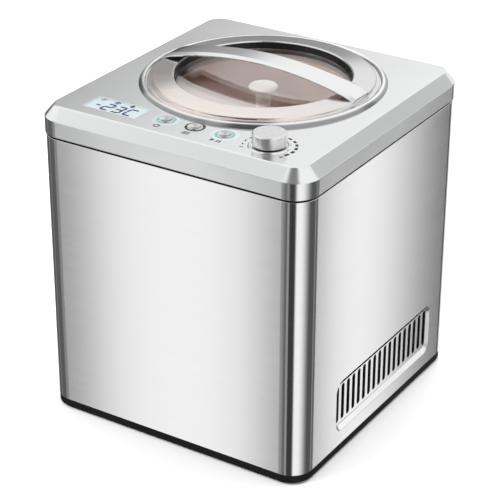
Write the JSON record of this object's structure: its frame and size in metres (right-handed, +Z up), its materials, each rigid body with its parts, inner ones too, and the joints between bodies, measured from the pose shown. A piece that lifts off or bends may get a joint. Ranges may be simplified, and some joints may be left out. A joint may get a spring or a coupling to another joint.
{
  "type": "ice cream maker",
  "caption": "Countertop compressor ice cream maker: tall brushed-steel box, bevelled silver top with round clear lid and arched handle, display, buttons and knob.",
  "frame": {"origin": "on the worktop, under the middle of the top cover", "axes": "+Z up, +X to the right along the control panel, +Y to the back"},
  "size_m": [0.285, 0.295, 0.337],
  "materials": {
    "steel_wrap": "horizontal brush",
    "silver_cover": "silver satin paint",
    "bright_trim": "polished",
    "lid_band": "clear satin",
    "clear_window": "clear",
    "black_plastic": "fine texture",
    "rubber": "matt",
    "silicone": "translucent",
    "display_glass": "clear",
    "display_face": "backlit",
    "spun_metal": "spun",
    "light_ring": "lit",
    "dark_ring": "polished dark",
    "bowl_metal": "satin",
    "white_plastic": "satin",
    "copper_tube": "drawn",
    "foam": "foamed",
    "steel_part": "turned",
    "zinc_sheet": "galvanised",
    "nylon": "moulded",
    "brass_part": "cut",
    "black_paint": "satin",
    "motor_shell": "plated",
    "fin_metal": "thin sheet",
    "circuit_board": "solder mask"
  },
  "bodies": {
    "housing": {"outer_housing": "steel_wrap", "top_cover": "silver_cover", "trim_collar": "bright_trim", "base_tray": "black_plastic", "mains_inlet": "black_plastic", "display_lens": "display_glass", "display_module": "display_face", "tact_switches": "black_plastic", "knob_base_ring": "bright_trim", "encoder_body": "zinc_sheet", "control_board": "circuit_board", "control_board_screws": "steel_part", "cooling_well": "bowl_metal", "evaporator_coil": "copper_tube", "insulation": "foam", "shaft_bearing": "nylon", "shaft_seal": "rubber", "shaft_post": "black_plastic", "drive_motor": "motor_shell", "motor_screws": "steel_part", "machine_deck": "zinc_sheet", "compressor": "black_paint", "compressor_mounts": "rubber", "condenser": "fin_metal", "fan_shroud": "black_plastic", "filter_drier": "copper_tube", "drier_clip": "zinc_sheet", "suction_pipe": "copper_tube", "discharge_pipe": "copper_tube", "power_board": "circuit_board", "power_board_posts": "nylon", "power_button_ring": "light_ring", "menu_button_ring": "dark_ring", "start_button_ring": "light_ring", "foot_front_left": "rubber", "foot_front_right": "rubber", "foot_back_left": "rubber", "foot_back_right": "rubber"},
    "bowl": {"bowl": "bowl_metal"},
    "lid": {"lid_ring": "lid_band", "lid_window": "clear_window", "lid_seal": "silicone", "lid_handle": "bright_trim", "handle_screws": "steel_part"},
    "paddle": {"mixing_paddle": "white_plastic"},
    "drive": {"drive_shaft": "steel_part", "drive_gear": "nylon"},
    "pinion": {"motor_shaft": "steel_part", "motor_pinion": "brass_part"},
    "knob": {"knob": "spun_metal", "encoder_shaft": "steel_part"},
    "power_button": {"power_button": "spun_metal"},
    "menu_button": {"menu_button": "spun_metal"},
    "start_button": {"start_button": "spun_metal"},
    "fan": {"fan_rotor": "black_plastic"}
  },
  "joints": [
    {"name": "bowl_lift", "type": "slide", "parent": "housing", "child": "bowl", "axis": [0, 0, 1], "range_m": [0, 0.135]},
    {"name": "lid_lift", "type": "slide", "parent": "bowl", "child": "lid", "axis": [0, 0, 1], "range_m": [0, 0.15]},
    {"name": "shaft_spin", "type": "hinge", "parent": "housing", "child": "drive", "pos_m": [0, 0.0155, 0.18], "axis": [0, 0, 1], "continuous": true},
    {"name": "paddle_spin", "type": "hinge", "parent": "bowl", "child": "paddle", "pos_m": [0, 0.0155, 0.26], "axis": [0, 0, 1], "continuous": true},
    {"name": "pinion_spin", "type": "hinge", "parent": "housing", "child": "pinion", "pos_m": [-0.05196, 0.0455, 0.18], "axis": [0, 0, 1], "continuous": true},
    {"name": "knob_turn", "type": "hinge", "parent": "housing", "child": "knob", "pos_m": [0.0845, -0.1106, 0.3155], "axis": [0, 0, 1], "continuous": true},
    {"name": "fan_spin", "type": "hinge", "parent": "housing", "child": "fan", "pos_m": [0.086, 0.018, 0.061], "axis": [1, 0, 0], "continuous": true},
    {"name": "power_press", "type": "slide", "parent": "housing", "child": "power_button", "axis": [0, 0, -1], "range_m": [0, 0.0015], "stiffness_N_per_m": 400},
    {"name": "menu_press", "type": "slide", "parent": "housing", "child": "menu_button", "axis": [0, 0, -1], "range_m": [0, 0.0015], "stiffness_N_per_m": 400},
    {"name": "start_press", "type": "slide", "parent": "housing", "child": "start_button", "axis": [0, 0, -1], "range_m": [0, 0.0015], "stiffness_N_per_m": 400}
  ],
  "couplings": [
    {"joint": "paddle_spin", "follows": "shaft_spin", "ratio": 1},
    {"joint": "pinion_spin", "follows": "shaft_spin", "ratio": -4}
  ]
}
